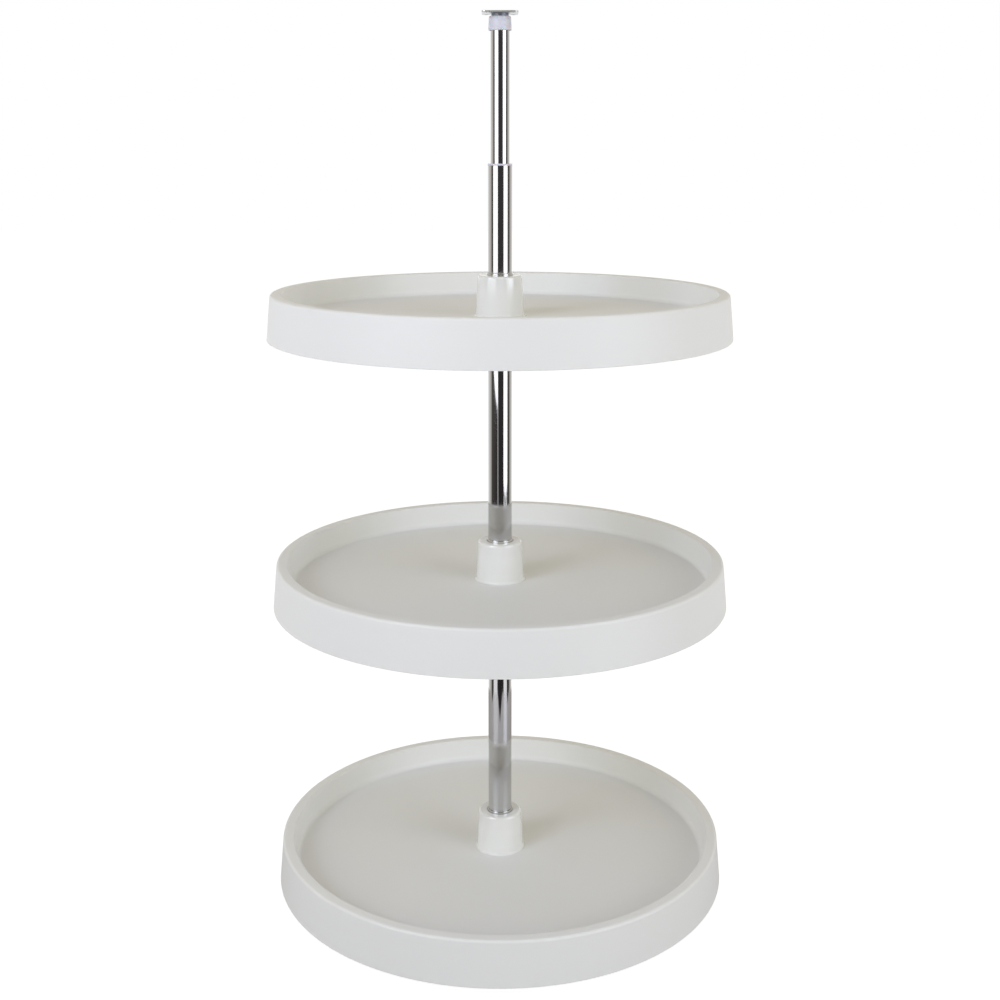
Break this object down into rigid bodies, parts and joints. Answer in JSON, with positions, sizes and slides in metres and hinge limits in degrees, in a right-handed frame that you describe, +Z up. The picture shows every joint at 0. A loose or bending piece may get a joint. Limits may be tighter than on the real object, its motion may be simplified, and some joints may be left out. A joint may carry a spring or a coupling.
{
  "type": "rotating tray stack",
  "caption": "Full-round moulded trays that turn on a telescoping chromed shaft, with pivot plates for a corner cabinet's floor and top.",
  "frame": {"origin": "centre of the bottom plate's underside, on the turning axis", "axes": "+Z up along the shaft, -Y towards the front; the telescope's locking screw is on +Y, at the back"},
  "size_m": [0.4572, 0.4572, 0.91],
  "materials": {
    "tray_polymer": "white moulded polymer, low sheen",
    "chrome": "bright chrome plate",
    "nylon": "natural nylon, satin",
    "zinc_steel": "zinc plated steel",
    "stud_steel": "plain dark steel",
    "screw_steel": "black oxide steel"
  },
  "bodies": {
    "base": {"bottom_plate": "zinc_steel", "bottom_pivot_pin": "zinc_steel", "bottom_thrust_washer": "zinc_steel"},
    "shaft": {"lower_tube": "chrome", "foot_bushing": "nylon", "guide_sleeve": "nylon", "telescope_lock_screw": "screw_steel"},
    "upper_shaft": {"upper_tube": "chrome", "guide_plug": "nylon", "top_bushing": "nylon"},
    "top_mount": {"top_plate": "zinc_steel", "top_pivot_stud": "stud_steel"},
    "lower_support": {"lower_shaft_collar": "zinc_steel", "lower_collar_screws": "screw_steel", "lower_thrust_washer": "zinc_steel"},
    "lower_shelf": {"lower_tray": "tray_polymer", "lower_hub_bush": "nylon", "lower_hub_ferrule": "chrome"},
    "middle_support": {"middle_shaft_collar": "zinc_steel", "middle_collar_screws": "screw_steel", "middle_thrust_washer": "zinc_steel"},
    "middle_shelf": {"middle_tray": "tray_polymer", "middle_hub_bush": "nylon", "middle_hub_ferrule": "chrome"},
    "upper_support": {"upper_shaft_collar": "zinc_steel", "upper_collar_screws": "screw_steel", "upper_thrust_washer": "zinc_steel"},
    "upper_shelf": {"upper_tray": "tray_polymer", "upper_hub_bush": "nylon", "upper_hub_ferrule": "chrome"}
  },
  "joints": [
    {"name": "shaft_turn", "type": "hinge", "parent": "base", "child": "shaft", "pos_m": [0, 0, 0.0045], "axis": [0, 0, 1], "continuous": true},
    {"name": "lower_tray_height", "type": "slide", "parent": "shaft", "child": "lower_support", "axis": [0, 0, 1], "range_m": [0, 0.1]},
    {"name": "lower_tray_turn", "type": "hinge", "parent": "lower_support", "child": "lower_shelf", "pos_m": [0, 0, 0.038], "axis": [0, 0, 1], "continuous": true},
    {"name": "middle_tray_height", "type": "slide", "parent": "shaft", "child": "middle_support", "axis": [0, 0, 1], "range_m": [-0.1, 0.1]},
    {"name": "middle_tray_turn", "type": "hinge", "parent": "middle_support", "child": "middle_shelf", "pos_m": [0, 0, 0.3286], "axis": [0, 0, 1], "continuous": true},
    {"name": "upper_tray_height", "type": "slide", "parent": "shaft", "child": "upper_support", "axis": [0, 0, 1], "range_m": [-0.1, 0.08]},
    {"name": "upper_tray_turn", "type": "hinge", "parent": "upper_support", "child": "upper_shelf", "pos_m": [0, 0, 0.598], "axis": [0, 0, 1], "continuous": true},
    {"name": "telescope_slide", "type": "slide", "parent": "shaft", "child": "upper_shaft", "axis": [0, 0, 1], "range_m": [-0.12, 0.16]},
    {"name": "top_plate_turn", "type": "hinge", "parent": "upper_shaft", "child": "top_mount", "pos_m": [0, 0, 0.9059], "axis": [0, 0, 1], "continuous": true}
  ]
}
